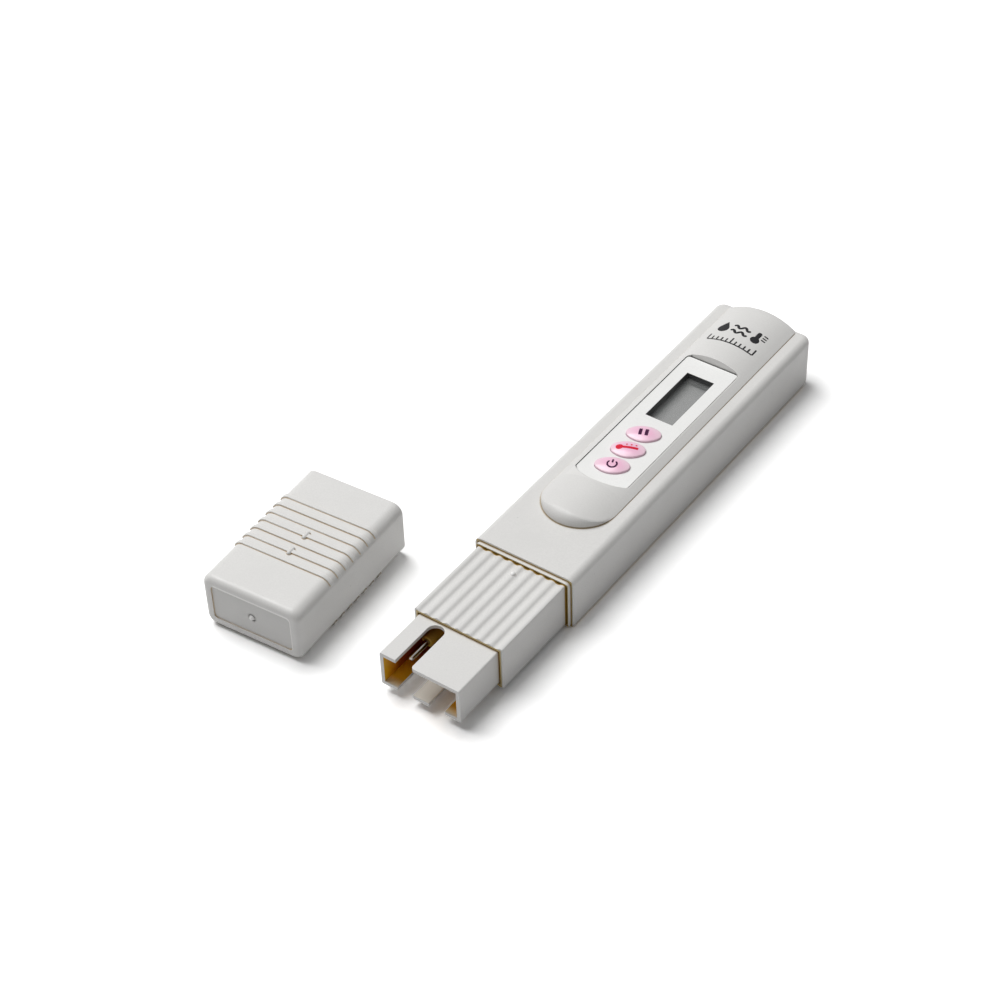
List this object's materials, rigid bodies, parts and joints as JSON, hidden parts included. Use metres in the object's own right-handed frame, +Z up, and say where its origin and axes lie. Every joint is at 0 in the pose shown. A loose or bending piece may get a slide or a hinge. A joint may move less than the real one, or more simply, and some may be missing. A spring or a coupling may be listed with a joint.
{
  "type": "digital water tester",
  "caption": "Pen-type water tester with an arched display panel, oval keys, a ribbed neck, a slotted shroud round two electrode pins, and a ribbed cap lying beside it.",
  "frame": {"origin": "middle of the housing's flat back face, which lies on the table", "axes": "+Y along the tester from the probe to the closed end, +Z up from the back to the keys, +X to the right seen from the probe"},
  "size_m": [0.077, 0.1592, 0.0184],
  "materials": {
    "housing": "fine matte moulding, warm light grey",
    "label": "satin printed plate, near white",
    "clear_pane": "clear plastic",
    "key": "glossy pink",
    "carrier": "cream moulding",
    "electrode": "drawn bright metal",
    "board": "green solder mask",
    "dark_plastic": "black moulding",
    "display": "grey liquid-crystal glass",
    "reflector": "satin film",
    "contact_rubber": "layered silicone",
    "steel": "bright sheet and screws",
    "resin": "black potting resin",
    "chip_parts": "ceramic chip parts",
    "cell_steel": "plated steel cans",
    "contact_brass": "spring brass",
    "trimmer": "blue moulding",
    "rotor": "pale moulding"
  },
  "bodies": {
    "housing": {"body_shell": "housing", "face_label": "label", "display_window": "clear_pane"},
    "power_key": {"key_power": "key"},
    "temp_key": {"key_temp": "key"},
    "hold_key": {"key_hold": "key"},
    "probe_module": {"mouth_collar": "housing", "probe_neck": "housing", "probe_shroud": "housing", "electrode_carrier": "carrier", "electrode_pin_left": "electrode", "electrode_pin_right": "electrode", "temperature_sensor": "electrode", "circuit_board": "board", "display_frame": "dark_plastic", "display_glass": "display", "display_reflector": "reflector", "zebra_strips": "contact_rubber", "switch_bases": "dark_plastic", "switch_covers": "steel", "controller_chip": "resin", "board_components": "chip_parts", "battery_holder": "dark_plastic", "button_cells": "cell_steel", "battery_contact_plus": "contact_brass", "battery_contact_minus": "contact_brass", "trimmer_body": "trimmer", "board_screws": "steel"},
    "power_plunger": {"plunger_power": "dark_plastic"},
    "temp_plunger": {"plunger_temp": "dark_plastic"},
    "hold_plunger": {"plunger_hold": "dark_plastic"},
    "rotor": {"trimmer_rotor": "rotor"},
    "cap": {"cap_shell": "housing"}
  },
  "joints": [
    {"name": "power_press", "type": "slide", "parent": "housing", "child": "power_key", "axis": [0, 0, -1], "range_m": [0, 0.00035], "stiffness_N_per_m": 1500},
    {"name": "temp_press", "type": "slide", "parent": "housing", "child": "temp_key", "axis": [0, 0, -1], "range_m": [0, 0.00035], "stiffness_N_per_m": 1500},
    {"name": "hold_press", "type": "slide", "parent": "housing", "child": "hold_key", "axis": [0, 0, -1], "range_m": [0, 0.00035], "stiffness_N_per_m": 1500},
    {"name": "module_pull", "type": "slide", "parent": "housing", "child": "probe_module", "axis": [0, -1, 0], "range_m": [0, 0.11]},
    {"name": "power_plunge", "type": "slide", "parent": "probe_module", "child": "power_plunger", "axis": [0, 0, -1], "range_m": [0, 0.00035]},
    {"name": "temp_plunge", "type": "slide", "parent": "probe_module", "child": "temp_plunger", "axis": [0, 0, -1], "range_m": [0, 0.00035]},
    {"name": "hold_plunge", "type": "slide", "parent": "probe_module", "child": "hold_plunger", "axis": [0, 0, -1], "range_m": [0, 0.00035]},
    {"name": "trimmer_turn", "type": "hinge", "parent": "probe_module", "child": "rotor", "pos_m": [0, 0.0361, 0.003], "axis": [0, 0, 1], "range_deg": [-105, 105]},
    {"name": "cap_pull", "type": "slide", "parent": "housing", "child": "cap", "axis": [0.0645, -0.9979, 0], "range_m": [0, 0.0425]}
  ],
  "couplings": [
    {"joint": "power_plunge", "follows": "power_press", "ratio": 1},
    {"joint": "temp_plunge", "follows": "temp_press", "ratio": 1},
    {"joint": "hold_plunge", "follows": "hold_press", "ratio": 1}
  ]
}
